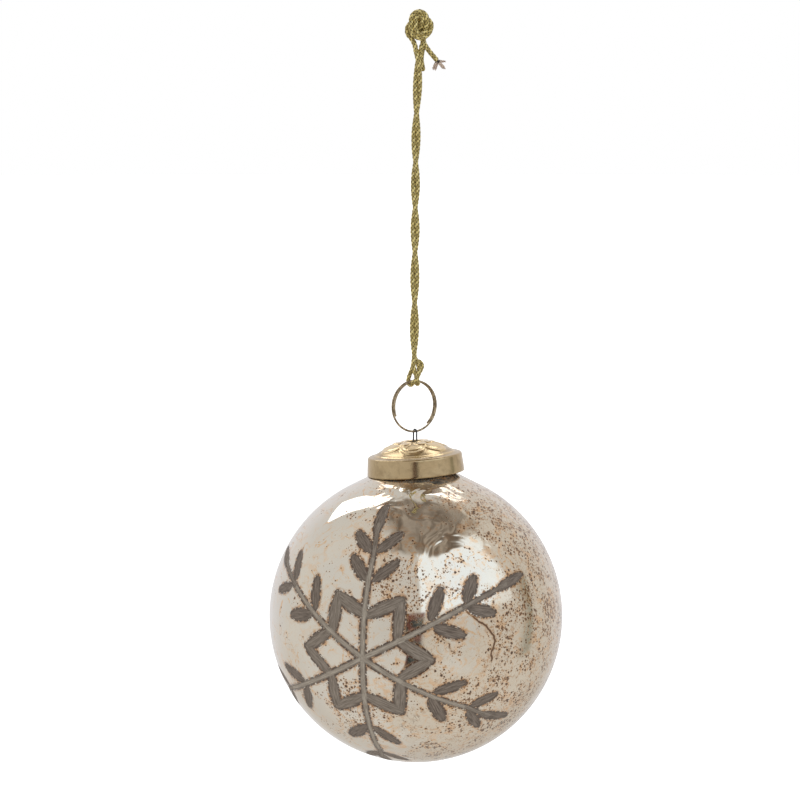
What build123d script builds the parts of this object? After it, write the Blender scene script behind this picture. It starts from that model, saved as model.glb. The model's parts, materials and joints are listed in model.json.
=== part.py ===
from build123d import *
from math import cos, radians, sin, sqrt, tan
import os

# A hanging glass ball ornament: a blown glass ball with a short neck, a stamped metal cap,
# a spring wire that grips the neck, a split ring, and a doubled, twisted and knotted cord.
#
# Millimetres, +Z up, front of the ornament towards -Y.  The origin is the place where a hook
# carries the ornament: between the two strands of the cord, just under the top knot.  The cord
# leans a little, so the neck's axis stands slightly to the left of the origin.

# ---- driving dimensions ------------------------------------------------------------------

# glass ball
BALL_DIAMETER = 101.6
BALL_DROP = 197.3           # from the hook down to the middle of the ball
NECK_AXIS_X = -0.8          # the ball hangs this much to the side of the hook
GLASS_WALL = 1.3
SHOULDER_RADIUS = 23.0      # where the round ball turns into the sloping shoulder
NECK_DIAMETER = 27.0
NECK_TOP = 54.2             # above the ball's middle
NECK_BLEND = 2.5            # fillet between shoulder and neck
LIP_ROUND = 0.5

# stamped cap
CAP_RIM_DIAMETER = 33.7
CAP_SHOULDER_DIAMETER = 32.7
CAP_SKIRT_HEIGHT = 5.6
CAP_CORNER = 0.8            # rounded corner between skirt and ledge
CAP_LEDGE_RISE = 0.4        # the ledge climbs this much towards the dome
CAP_DOME_DIAMETER = 27.6
CAP_DOME_RISE = 4.2
CAP_SHEET = 0.4
CAP_HOLE_DIAMETER = 5.0
CAP_RIM_HEIGHT = 50.0       # middle of the rim above the ball's middle
CAP_LEAN_LEFT = 4.0         # degrees: the cap sits crooked, its left side down on the glass
CAP_LEAN_FRONT = 1.0        # degrees: and a little down at the front

# split ring
RING_OUTER_DIAMETER = 18.2
RING_WIRE = 0.7
RING_PITCH = 1.2            # the second turn lies half a wire's width clear of the first
RING_TURNS_DEG = 606.0
RING_START_DEG = 200.0      # first end of the wire, lower left, on the front turn
RING_MIDDLE_DEG = 290.0     # travel at which the wire crosses the ring's middle plane
RING_HEIGHT = 73.1          # middle of the ring above the ball's middle
RING_TURNED = 33.0          # degrees: the ring's right side is turned away from the front
RING_OFFSET = -0.7          # along the ring's own plane, from the neck's axis

# spring wire hanger
HANGER_WIRE = 0.5
HANGER_BEND = 1.0           # mean radius of the bend over the ring
HANGER_PLAY = 0.1           # under the bend, over the ring's wire
HANGER_OFFSET = -0.35       # along the ring's plane, from the neck's axis
HANGER_HOLE_SPREAD = 1.25   # each leg from the axis, in the cap's hole
HANGER_NECK_PLAY = 0.08     # between a leg and the neck's bore
HANGER_FOOT = 31.0          # the legs' lower ends above the ball's middle
LEG_BENDS = [8.0, 8.0, 4.0, 4.0]  # radii of a leg's bends, from the top down

# cord
STRAND = 1.6                # the braided cord itself
TWIST_DIAMETER = 3.4        # two strands twisted together
TWIST_TOP = (0.0, 0.0, -1.4)
TWIST_CORNER = (-0.7, 0.0, -24.0)  # the twist leans a little to the right above this
TWIST_BEND = 250.0
TWIST_BOTTOM_HEIGHT = 91.0  # above the ball's middle
HITCH_SPACING = 3.0         # between the two wraps on the ring
HITCH_HOLE = 2.3            # inside diameter of a wrap
KNOT_CENTRE = (0.3, 0.0, 7.2)
KNOT_WIDTH = 9.6
KNOT_HEIGHT = 11.4
LOOP_STRAND = 1.5
LEFT_STRAND = [(-2.1, 0.0, 3.2), (-0.8, 0.0, -1.4)]
RIGHT_STRAND = [(1.7, 0.0, 3.0), (0.85, 0.0, -1.4)]
LONG_TAIL = [(1.2, 1.8, 3.2), (2.2, 2.0, 0.3), (6.5, 1.7, -5.3)]
LONG_TAIL_TUFT = (7.9, 1.5, -7.2)
TUFT_DIAMETER = 4.4
SHORT_TAIL = [(-0.3, 1.8, 3.0), (0.1, 2.85, -1.8), (0.9, 2.95, -5.6), (1.6, 2.8, -8.9)]

# ---- worked out from them ----------------------------------------------------------------

BALL_Z = -BALL_DROP
BALL_RADIUS = BALL_DIAMETER / 2
NECK_RADIUS = NECK_DIAMETER / 2
NECK_BORE = NECK_RADIUS - GLASS_WALL
RING_RADIUS = (RING_OUTER_DIAMETER - RING_WIRE) / 2

ALONG_RING = Vector(cos(radians(RING_TURNED)), sin(radians(RING_TURNED)), 0)
RING_FRONT = Vector(sin(radians(RING_TURNED)), -cos(radians(RING_TURNED)), 0)
UP = Vector(0, 0, 1)

BALL_CENTRE = Vector(NECK_AXIS_X, 0, BALL_Z)
NECK_AXIS = Axis(BALL_CENTRE, UP)
RING_CENTRE = BALL_CENTRE + ALONG_RING * RING_OFFSET + UP * RING_HEIGHT
RING_TOP = RING_CENTRE + UP * RING_RADIUS
RING_BOTTOM = RING_CENTRE - UP * RING_RADIUS
TWIST_BOTTOM = BALL_CENTRE + ALONG_RING * RING_OFFSET + UP * TWIST_BOTTOM_HEIGHT

os.makedirs("parts", exist_ok=True)


def finish(builder, name):
    """Label one finished piece and write it to its own file."""
    builder.part.label = name
    export_step(builder.part, f"parts/{name}.step")


# ---- glass ball --------------------------------------------------------------------------
# A thin sphere whose top slopes straight up from the shoulder into a short round neck.


def ball_outline(radius, shoulder, neck, blend):
    """Half the ball's section, from the bottom pole to the neck's top, closed at the axis."""
    shoulder_height = sqrt(radius**2 - shoulder**2)
    slope = shoulder / shoulder_height
    neck_foot = shoulder_height + (shoulder - neck) * slope
    ThreePointArc((0, -radius), (radius, 0), (shoulder, shoulder_height))
    FilletPolyline(
        (shoulder, shoulder_height), (neck, neck_foot), (neck, NECK_TOP), radius=blend
    )
    Polyline((neck, NECK_TOP), (0, NECK_TOP), (0, -radius))


BALL_SECTION = Plane(origin=BALL_CENTRE, x_dir=(1, 0, 0), z_dir=(0, -1, 0))

with BuildPart() as glass_ball:
    with BuildSketch(BALL_SECTION):
        with BuildLine():
            ball_outline(BALL_RADIUS, SHOULDER_RADIUS, NECK_RADIUS, NECK_BLEND)
        make_face()
    revolve(axis=NECK_AXIS)
    with BuildSketch(BALL_SECTION):
        with BuildLine():
            ball_outline(
                BALL_RADIUS - GLASS_WALL,
                SHOULDER_RADIUS - GLASS_WALL / 2,
                NECK_BORE,
                NECK_BLEND + GLASS_WALL,
            )
        make_face()
    revolve(axis=NECK_AXIS, mode=Mode.SUBTRACT)
    fillet(glass_ball.faces().sort_by(Axis.Z)[-1].edges(), LIP_ROUND)
finish(glass_ball, "glass_ball")

# ---- cap ---------------------------------------------------------------------------------
# Thin sheet: a skirt that flares a little to its rim, a rounded corner, a narrow ledge and a
# low dome with a hole at its middle.  It leans on its own plane.

CAP_PLANE = Plane(
    origin=BALL_CENTRE + UP * CAP_RIM_HEIGHT,
    z_dir=(-tan(radians(CAP_LEAN_LEFT)), -tan(radians(CAP_LEAN_FRONT)), 1),
)
CAP_SECTION = Plane(
    origin=CAP_PLANE.origin, x_dir=CAP_PLANE.x_dir, z_dir=CAP_PLANE.x_dir.cross(CAP_PLANE.z_dir)
)
CAP_AXIS = Axis(CAP_PLANE.origin, CAP_PLANE.z_dir)


def cap_outline(inset):
    """Half the cap's section, moved inwards by inset, closed at the axis."""
    rim = CAP_RIM_DIAMETER / 2 - inset
    shoulder = CAP_SHOULDER_DIAMETER / 2 - inset
    ledge = CAP_SKIRT_HEIGHT + CAP_CORNER - inset
    dome = CAP_DOME_DIAMETER / 2 - inset / 2
    dome_foot = ledge + CAP_LEDGE_RISE
    dome_top = dome_foot + CAP_DOME_RISE
    ball_of_dome = (dome**2 + CAP_DOME_RISE**2) / (2 * CAP_DOME_RISE)
    half_way = dome / 2
    half_way_height = dome_top - ball_of_dome + sqrt(ball_of_dome**2 - half_way**2)
    FilletPolyline(
        (rim, 0), (shoulder, ledge), (dome, dome_foot), radius=CAP_CORNER - inset / 2
    )
    ThreePointArc((dome, dome_foot), (half_way, half_way_height), (0, dome_top))
    Polyline((0, dome_top), (0, 0), (rim, 0))


with BuildPart() as cap:
    with BuildSketch(CAP_SECTION):
        with BuildLine():
            cap_outline(0)
        make_face()
    revolve(axis=CAP_AXIS)
    with BuildSketch(CAP_SECTION):
        with BuildLine():
            cap_outline(CAP_SHEET)
        make_face()
    revolve(axis=CAP_AXIS, mode=Mode.SUBTRACT)
    with BuildSketch(CAP_PLANE):
        Circle(CAP_HOLE_DIAMETER / 2)
    extrude(amount=CAP_SKIRT_HEIGHT + CAP_DOME_RISE * 2, mode=Mode.SUBTRACT)
finish(cap, "cap")

# ---- split ring --------------------------------------------------------------------------
# One round wire wound 1.7 times, both ends overlapping over the top, single at the bottom.

START = radians(RING_START_DEG)
TO_START = ALONG_RING * cos(START) + UP * sin(START)
TO_FRONT = RING_PITCH * RING_MIDDLE_DEG / 360
RING_PLANE = Plane(
    origin=RING_CENTRE + RING_FRONT * TO_FRONT, x_dir=TO_START, z_dir=RING_FRONT * -1
)

ring_helix = Helix(
    pitch=RING_PITCH,
    height=RING_PITCH * RING_TURNS_DEG / 360,
    radius=RING_RADIUS,
    mode=Mode.PRIVATE,
)

with BuildPart() as split_ring:
    with BuildLine() as ring_path:
        add(RING_PLANE.from_local_coords(ring_helix))
    with BuildSketch(Plane(origin=ring_path.line @ 0, z_dir=ring_path.line % 0)):
        Circle(RING_WIRE / 2)
    sweep(is_frenet=True)
finish(split_ring, "split_ring")

# ---- spring hanger -----------------------------------------------------------------------
# A hairpin of spring wire, bent over the ring's bottom wire.  Its legs pass through the cap's
# hole, splay out inside the neck and press on the bore, which holds ball and cap together.

BEND_HEIGHT = (
    RING_HEIGHT
    - RING_RADIUS
    + RING_WIRE / 2
    + HANGER_PLAY
    - (HANGER_BEND - HANGER_WIRE / 2)
)
LEG_REACH = NECK_BORE - HANGER_WIRE / 2 - HANGER_NECK_PLAY
HANGER_PLANE = Plane(
    origin=BALL_CENTRE + ALONG_RING * HANGER_OFFSET, x_dir=RING_FRONT, z_dir=ALONG_RING * -1
)


def leg_points(side):
    """One leg from the bend down to its foot, in the hanger's plane (across, height)."""
    return [
        (side * HANGER_BEND, BEND_HEIGHT),
        (side * HANGER_BEND, 62.3),
        (side * HANGER_HOLE_SPREAD, 58.5),
        (side * 1.9, 55.0),
        (side * LEG_REACH, 45.0),
        (side * (LEG_REACH - 2.6), HANGER_FOOT),
    ]


with BuildPart() as spring_hanger:
    with BuildLine(HANGER_PLANE) as hanger_path:
        FilletPolyline(*reversed(leg_points(-1)), radius=list(reversed(LEG_BENDS)))
        ThreePointArc(
            (-HANGER_BEND, BEND_HEIGHT),
            (0, BEND_HEIGHT + HANGER_BEND),
            (HANGER_BEND, BEND_HEIGHT),
        )
        FilletPolyline(*leg_points(1), radius=LEG_BENDS)
    with BuildSketch(Plane(origin=hanger_path.wire() @ 0, z_dir=hanger_path.wire() % 0)):
        Circle(HANGER_WIRE / 2)
    sweep()
finish(spring_hanger, "spring_hanger")

# ---- cord --------------------------------------------------------------------------------
# The braided cord is doubled: hitched round the ring's top, twisted, and knotted at the top.
# Its solids are plain: a fat tube for the twist and one closed solid for hitch and for knot.

with BuildPart() as cord_twist:
    with BuildLine() as twist_run:
        FilletPolyline(TWIST_BOTTOM, TWIST_CORNER, TWIST_TOP, radius=TWIST_BEND)
    with BuildSketch(Plane(origin=twist_run.wire() @ 0, z_dir=twist_run.wire() % 0)):
        Circle(TWIST_DIAMETER / 2)
    sweep()
finish(cord_twist, "cord_twist")

WRAP_RADIUS = (HITCH_HOLE + STRAND) / 2
HITCH_BODY_FOOT = RING_TOP.Z + 1.8
HITCH_SECTION = Plane(origin=(TWIST_BOTTOM.X, TWIST_BOTTOM.Y, 0), x_dir=(1, 0, 0), z_dir=(0, -1, 0))
HITCH_BODY = [(1.7, HITCH_BODY_FOOT), (2.7, HITCH_BODY_FOOT + 1.6), (2.5, HITCH_BODY_FOOT + 3.4)]

with BuildPart() as cord_hitch:
    with BuildSketch(HITCH_SECTION):
        with BuildLine():
            Polyline(
                (0, HITCH_BODY_FOOT),
                *HITCH_BODY,
                (TWIST_DIAMETER / 2, TWIST_BOTTOM.Z),
                (0, TWIST_BOTTOM.Z),
                close=True,
            )
        make_face()
    revolve(axis=Axis((TWIST_BOTTOM.X, TWIST_BOTTOM.Y, 0), (0, 0, 1)))
    for side in (-1, 1):
        wrap_middle = RING_TOP + ALONG_RING * (side * HITCH_SPACING / 2)
        with Locations(Plane(origin=wrap_middle, z_dir=ALONG_RING)):
            Torus(WRAP_RADIUS, STRAND / 2)
finish(cord_hitch, "cord_hitch")

with BuildPart() as cord_knot:
    with BuildSketch(Plane(origin=KNOT_CENTRE, x_dir=(1, 0, 0), z_dir=(0, -1, 0))) as knot_face:
        Ellipse(KNOT_WIDTH / 2, KNOT_HEIGHT / 2)
        split(bisect_by=Plane.YZ, keep=Keep.TOP)
    revolve(axis=Axis(KNOT_CENTRE, (0, 0, 1)))
finish(cord_knot, "cord_knot")

with BuildPart() as cord_loop:
    for start, end in (LEFT_STRAND, RIGHT_STRAND):
        with BuildLine(mode=Mode.PRIVATE) as strand_run:
            Line(start, end)
        with BuildSketch(Plane(origin=strand_run.line @ 0, z_dir=strand_run.line % 0)):
            Circle(LOOP_STRAND / 2)
        sweep(path=strand_run.line)
finish(cord_loop, "cord_loop")


def bend_radii(points):
    """The largest arc at each corner of a route that leaves a little of both runs straight."""
    radii = []
    for before, corner, after in zip(points, points[1:], points[2:]):
        run_in = Vector(corner) - Vector(before)
        run_out = Vector(after) - Vector(corner)
        half_turn = radians(run_in.get_angle(run_out)) / 2
        radii.append(0.45 * min(run_in.length, run_out.length) / tan(half_turn))
    return radii


with BuildPart() as cord_tail_long:
    with BuildLine() as long_tail_run:
        FilletPolyline(*LONG_TAIL, radius=bend_radii(LONG_TAIL))
    with BuildSketch(Plane(origin=long_tail_run.wire() @ 0, z_dir=long_tail_run.wire() % 0)):
        Circle(STRAND / 2)
    sweep()
    with BuildSketch(Plane(origin=LONG_TAIL[-1], z_dir=Vector(LONG_TAIL_TUFT) - Vector(LONG_TAIL[-1]))):
        Circle(STRAND / 2)
    with BuildSketch(Plane(origin=LONG_TAIL_TUFT, z_dir=Vector(LONG_TAIL_TUFT) - Vector(LONG_TAIL[-1]))):
        Circle(TUFT_DIAMETER / 2)
    loft()
finish(cord_tail_long, "cord_tail_long")

with BuildPart() as cord_tail_short:
    with BuildLine() as short_tail_run:
        FilletPolyline(*SHORT_TAIL, radius=bend_radii(SHORT_TAIL))
    with BuildSketch(Plane(origin=short_tail_run.wire() @ 0, z_dir=short_tail_run.wire() % 0)):
        Circle(STRAND / 2)
    sweep()
finish(cord_tail_short, "cord_tail_short")

print("bend radii of the long tail:", [round(r, 1) for r in bend_radii(LONG_TAIL)])
print("bend radii of the short tail:", [round(r, 1) for r in bend_radii(SHORT_TAIL)])
print("twisted length:", round(twist_run.wire().length, 1))
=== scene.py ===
import json
import math
import random

import bpy
import numpy as np
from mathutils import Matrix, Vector


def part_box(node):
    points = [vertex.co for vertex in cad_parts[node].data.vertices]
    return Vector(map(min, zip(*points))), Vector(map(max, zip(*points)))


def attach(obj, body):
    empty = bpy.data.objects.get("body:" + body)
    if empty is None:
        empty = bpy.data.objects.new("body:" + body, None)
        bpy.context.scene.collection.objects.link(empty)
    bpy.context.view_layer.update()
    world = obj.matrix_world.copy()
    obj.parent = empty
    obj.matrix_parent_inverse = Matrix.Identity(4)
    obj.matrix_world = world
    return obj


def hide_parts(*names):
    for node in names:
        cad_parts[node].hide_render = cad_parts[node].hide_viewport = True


# The looks of a hanging mercury-glass ball ornament.  Lengths in this script are millimetres
# in the frame of the part, turned into metres by MM where a mesh is made.

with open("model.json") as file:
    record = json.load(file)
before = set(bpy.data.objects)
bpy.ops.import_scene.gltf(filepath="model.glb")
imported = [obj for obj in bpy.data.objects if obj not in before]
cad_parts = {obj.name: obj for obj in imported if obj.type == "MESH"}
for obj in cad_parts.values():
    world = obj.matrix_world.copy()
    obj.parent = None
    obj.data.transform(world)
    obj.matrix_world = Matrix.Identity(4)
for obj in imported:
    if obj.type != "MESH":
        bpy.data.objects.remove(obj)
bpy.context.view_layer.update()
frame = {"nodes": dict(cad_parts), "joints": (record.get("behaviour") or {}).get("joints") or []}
MM = 0.001

# ---- places from the frame -------------------------------

JOINTS = {joint["name"]: joint for joint in frame["joints"]}
BALL_LOW, BALL_HIGH = (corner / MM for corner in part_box("glass_ball"))
BALL_RADIUS = (BALL_HIGH.x - BALL_LOW.x) / 2
BALL = Vector(((BALL_LOW.x + BALL_HIGH.x) / 2, 0, BALL_LOW.z + BALL_RADIUS))
NECK_TOP = BALL_HIGH.z - BALL.z
CAP_ORIGIN = Vector(JOINTS["cap_turn"]["pos_m"]) / MM
CAP_UP = Vector(JOINTS["cap_turn"]["axis"])
RING_TOP = Vector(JOINTS["ring_swing"]["pos_m"]) / MM
RING_ACROSS = Vector(JOINTS["ring_swing"]["axis"])
RING_FRONT = Vector((RING_ACROSS.y, -RING_ACROSS.x, 0))
UP = Vector((0, 0, 1))


def direction(azimuth, elevation):
    """Unit vector from the ball: azimuth from the front towards the right, both in degrees."""
    a, e = math.radians(azimuth), math.radians(elevation)
    return Vector((math.sin(a) * math.cos(e), -math.cos(a) * math.cos(e), math.sin(e)))


def add_object(name, data):
    """A new object in the scene."""
    made = bpy.data.objects.new(name, data)
    bpy.context.scene.collection.objects.link(made)
    return made


# ---- camera ----------------------------------------------

CAMERA_DISTANCE = 2000.0
CAMERA_PITCH = math.radians(5.6)
VIEW_WIDTH = 276.5               # what the frame's width shows at the ornament's distance
VIEW_CENTRE = BALL + Vector((-5.5, 0, 75.2))


def make_camera():
    camera = bpy.data.cameras.new("camera")
    camera.sensor_width = 36
    camera.lens = camera.sensor_width * CAMERA_DISTANCE / VIEW_WIDTH
    camera.clip_start = 0.05
    camera.clip_end = 50
    holder = add_object("camera", camera)
    back = Vector((0, -math.cos(CAMERA_PITCH), math.sin(CAMERA_PITCH)))
    holder.location = (VIEW_CENTRE + back * CAMERA_DISTANCE) * MM
    holder.rotation_euler = (math.pi / 2 - CAMERA_PITCH, 0, 0)
    bpy.context.scene.camera = holder


make_camera()

# ---- mesh helpers ----------------------------------------


def new_piece(name, points, faces):
    """A smooth-shaded mesh object from points in millimetres."""
    mesh = bpy.data.meshes.new(name)
    corners = [tuple(p) for p in np.asarray(points, float) * MM]
    mesh.from_pydata(corners, [], [tuple(f) for f in faces])
    mesh.validate()
    mesh.shade_smooth()
    return add_object(name, mesh)


def keep_values(piece, **values):
    """Store one number per vertex under each name, for the materials to read."""
    for name, numbers in values.items():
        attribute = piece.data.attributes.new(name, "FLOAT", "POINT")
        attribute.data.foreach_set("value", np.asarray(numbers, np.float32))


def spline_points(route, resolution=24):
    """Points along the NURBS line that has the route's points as its control points."""
    curve = bpy.data.curves.new("route", "CURVE")
    curve.dimensions = "3D"
    spline = curve.splines.new("NURBS")
    spline.points.add(len(route) - 1)
    for point, place in zip(spline.points, route):
        point.co = (*place, 1)
    spline.order_u = 3
    spline.use_endpoint_u = True
    spline.resolution_u = resolution
    holder = add_object("route", curve)
    mesh = bpy.data.meshes.new_from_object(holder)
    line = np.array([v.co for v in mesh.vertices], float)
    bpy.data.objects.remove(holder)
    bpy.data.curves.remove(curve)
    bpy.data.meshes.remove(mesh)
    return line


def units(vectors):
    """Each row of an array as a unit vector."""
    return vectors / np.linalg.norm(vectors, axis=1)[:, None]


def evenly(line, step):
    """The same line with its points at even steps, and each point's distance along it."""
    lengths = np.linalg.norm(np.diff(line, axis=0), axis=1)
    travelled = np.concatenate([[0], np.cumsum(lengths)])
    count = max(3, int(round(travelled[-1] / step)) + 1)
    wanted = np.linspace(0, travelled[-1], count)
    return np.stack([np.interp(wanted, travelled, line[:, k]) for k in range(3)], 1), wanted


def frames_along(line):
    """Side and top at each point of a line, turning no more than the line does."""
    tangents = units(np.gradient(line, axis=0))
    start = np.array([0.0, 0.0, 1.0]) if abs(tangents[0][2]) < 0.9 else np.array([1.0, 0.0, 0.0])
    side = np.cross(tangents[0], start)
    sides = []
    for tangent in tangents:
        side = side - tangent * (side @ tangent)
        side = side / np.linalg.norm(side)
        sides.append(side)
    sides = np.array(sides)
    return sides, np.cross(tangents, sides)


def grid_faces(rows, columns, first=0):
    """Faces of a closed-round grid of rows by columns vertices."""
    faces = []
    for row in range(rows - 1):
        for column in range(columns):
            after = (column + 1) % columns
            a = first + row * columns
            b = a + columns
            faces.append((a + column, a + after, b + after, b + column))
    return faces


def tube(line, radius, first):
    """A tube with closed ends round a line, from its radius in rows along by columns round."""
    rows, columns = radius.shape
    sides, tops = frames_along(line)
    angles = (np.arange(columns) / columns * 2 * math.pi)[:, None]
    outward = sides[:, None] * np.cos(angles) + tops[:, None] * np.sin(angles)
    points = line[:, None] + outward * radius[:, :, None]
    faces = grid_faces(rows, columns, first)
    faces.append(tuple(first + k for k in reversed(range(columns))))
    faces.append(tuple(first + (rows - 1) * columns + k for k in range(columns)))
    return points.reshape(-1, 3), faces


def jitter(draw, reach):
    """A random move of up to reach along each axis."""
    return np.array([draw.uniform(-reach, reach) for _ in range(3)])


# ---- braided cord ----------------------------------------

STRAND = 1.8
YARNS_AROUND = 4                 # yarns each way round the braid
YARN_PITCH = 1.45                # length of one diamond of the braid
YARN_RELIEF = 0.2
YARN_DIP = 0.35                  # share of its height that a yarn keeps where it dives under
STRAND_SIDES = 32
STRAND_STEP = 0.16


def braid(around, along):
    """A plain braid: its height from 0 in its gaps to 1 on its yarns, and its duller yarns."""
    u = YARNS_AROUND * around + along / YARN_PITCH
    v = YARNS_AROUND * around - along / YARN_PITCH
    over = (np.floor(u) + np.floor(v)) % 2 == 0
    across = np.where(over, v % 1, u % 1) * 2 - 1
    lengthwise = np.where(over, u % 1, v % 1) * 2 - 1
    rounded = np.sqrt(np.clip(1 - across**2, 0, 1))
    raised = YARN_DIP + (1 - YARN_DIP) * np.cos(lengthwise * math.pi / 2)
    return rounded * raised, np.floor(v) % 2


def strand_mesh(line, diameter, first, rounded):
    """One braided strand along a line, its far end rounded or cut: points, faces and braid."""
    line, along = evenly(line, STRAND_STEP)
    around = np.arange(STRAND_SIDES) / STRAND_SIDES
    height, dull = braid(around[None, :], along[:, None])
    radius = diameter / 2 - YARN_RELIEF * (1 - height)
    if rounded:
        left = np.clip((along[-1] - along) / (diameter / 2), 0.02, 1)
        radius = radius * np.sqrt(1 - (1 - left) ** 2)[:, None]
    points, faces = tube(line, radius, first)
    return points, faces, height.ravel(), dull.ravel()


def braided_piece(name, lines, diameter=STRAND, rounded=False):
    """One piece made of several braided strands."""
    points, faces, weave, dull = [], [], [], []
    count = 0
    for line in lines:
        more, new_faces, height, dull_yarns = strand_mesh(line, diameter, count, rounded)
        points.append(more)
        faces += new_faces
        weave.append(height)
        dull.append(dull_yarns)
        count += len(more)
    piece = new_piece(name, np.vstack(points), faces)
    keep_values(piece, weave=np.concatenate(weave), dull=np.concatenate(dull))
    return piece


# ---- the twisted pair ------------------------------------

TWIST_BOTTOM = Vector((RING_TOP.x, RING_TOP.y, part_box("cord_twist")[0].z / MM))
TWIST_ROUTE = [
    TWIST_BOTTOM,
    (-1.2, -0.2, -86.0),
    (-1.0, -0.1, -45.0),
    (-0.7, 0.0, -24.0),
    (-0.1, 0.0, -10.0),
    (0.0, 0.0, -1.4),
]
# Heights at which one strand lies straight in front of the other: half a turn apart.
CROSSINGS = [-123.0, -105.8, -88.3, -70.8, -55.5, -39.9, -23.0, -4.2, 1.6]
STRAND_OFFSET = 0.75
TURN_SPREAD = 1.5                # the angle is averaged over this height each way
TWIST_STEP = 0.5


def twist_angle(height):
    """Where the first strand is round the pair's middle, at a height."""
    return -math.pi / 2 - math.pi * np.interp(height, CROSSINGS, range(len(CROSSINGS)))


def smooth_turns(height):
    """The twist's angle without a kink at each crossing."""
    below, above = twist_angle(height - TURN_SPREAD), twist_angle(height + TURN_SPREAD)
    return (below + twist_angle(height) + above) / 3


def twisted_strand(line, which):
    """One of the pair's two strands, 0 or 1, laid round the pair's middle line."""
    middle, _ = evenly(line, TWIST_STEP)
    angle = smooth_turns(middle[:, 2]) + which * math.pi
    round_it = np.stack([np.cos(angle), np.sin(angle), np.zeros(len(angle))], 1)
    return middle + round_it * STRAND_OFFSET


twist_line = spline_points(TWIST_ROUTE)
cord_pair = braided_piece("cord_pair", [twisted_strand(twist_line, k) for k in (0, 1)])
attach(cord_pair, "cord")
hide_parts("cord_twist")

# ---- the hitch on the ring -------------------------------
# One strand comes down in front, wraps the ring's right side from front to back, bulges out to
# the right, passes behind, wraps the left side from back to front and climbs across the front.
# Points are (along the ring, towards the front, up) from the ring's top.

HITCH_STRAND = 1.6
HITCH_ROUTE = [
    (-0.44, 0.67, 9.2), (-0.9, 0.9, 7.0), (-1.1, 1.1, 5.4), (-0.8, 1.4, 3.8),
    (-0.4, 1.7, 2.0), (0.1, 1.9, 0.2), (0.9, 1.2, -1.1), (1.5, -1.1, -1.1),
    (2.2, -2.0, 0.2), (2.9, -1.5, 2.4), (3.7, -0.5, 4.6), (2.9, -0.1, 6.3),
    (1.4, -0.9, 7.0), (0.5, -1.5, 5.9), (0.3, -1.6, 4.2), (-0.5, -1.8, 2.4),
    (-1.1, -2.0, 0.8), (-1.4, -1.6, -0.7), (-1.5, -0.6, -1.3), (-1.7, 1.0, -1.2),
    (-1.9, 1.9, -0.4), (-0.9, 2.7, 0.5), (-0.3, 2.9, 2.3), (0.6, 2.2, 4.2),
    (1.1, 0.8, 5.7), (0.8, -0.4, 7.3), (0.44, -0.67, 9.2),
]


def at_ring(point):
    """The place in the frame of a point given from the ring's top."""
    along, front, up = point
    return RING_TOP + RING_ACROSS * along + RING_FRONT * front + UP * up


hitch = braided_piece("hitch", [spline_points([at_ring(p) for p in HITCH_ROUTE])], HITCH_STRAND)
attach(hitch, "cord")
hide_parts("cord_hitch")

# ---- the top knot, its loop and its ends -----------------
# Both strands run side by side through two turns: the first behind and wide, the second in
# front and high.  They come out behind the knot, where each becomes an end.

KNOT_TURNS = [
    (-3.0, 0.5, 4.2), (-3.1, 1.2, 6.6), (-0.6, 1.6, 8.4), (2.6, 1.2, 8.9),
    (4.0, 0.3, 7.5), (3.1, -0.7, 4.7), (0.7, -1.4, 3.2), (-1.7, -1.7, 4.7),
    (-1.8, -1.9, 8.0), (-1.5, -1.8, 10.5), (0.2, -1.8, 11.5), (2.0, -1.6, 10.6),
    (2.3, -1.2, 8.4), (1.5, -0.4, 6.4), (0.9, 0.7, 4.8), (1.4, 1.6, 3.2),
]
SIDE_BY_SIDE = 0.8
LOOP_LEFT = [(-0.75, -0.1, -2.2), (-0.95, 0.0, -0.4), (-1.5, 0.1, 1.3), (-2.5, 0.2, 3.0)]
LOOP_RIGHT = [
    (0.75, 0.1, -2.2), (1.0, 0.1, -0.4), (1.7, 0.2, 1.6), (1.8, 0.9, 3.3), (0.2, 1.7, 4.0),
]
LONG_END = [(1.6, 1.7, 2.0), (2.6, 1.9, -0.2), (4.4, 1.9, -2.6), (6.7, 1.7, -5.2)]
SHORT_END = [
    (1.8, 2.2, 2.0), (1.5, 2.8, -1.0), (0.9, 3.0, -4.5), (1.4, 2.8, -7.0), (1.7, 2.6, -8.7),
]


def beside(points, side):
    """The same run moved sideways in the knot's face, to one side of its middle line."""
    middle = np.array(points)
    outward = units(np.cross(np.gradient(middle, axis=0), (0.0, 1.0, 0.0)))
    return [tuple(p) for p in middle + outward * side * SIDE_BY_SIDE]


first_strand = LOOP_LEFT + beside(KNOT_TURNS, 1) + LONG_END
second_strand = LOOP_RIGHT + beside(KNOT_TURNS, -1) + SHORT_END
knot_lines = [spline_points(first_strand), spline_points(second_strand)]
knot = braided_piece("knot", knot_lines, rounded=True)
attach(knot, "cord")
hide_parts("cord_knot", "cord_loop", "cord_tail_long", "cord_tail_short")

# The long end is frayed into three tufts of thin threads.  Each tuft is how far it reaches from
# the end, how many threads it has and how far their tips spread.

THREAD = 0.22
THREAD_SIDES = 6
THREAD_STEP = 0.3
ROOT_SPREAD = 0.55
THREAD_SAG = 0.3
TUFTS = [((-1.3, 0.1, -2.6), 34, 0.75), ((2.2, -0.1, -2.4), 30, 0.5), ((2.7, 0.0, -0.1), 12, 0.2)]


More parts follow.
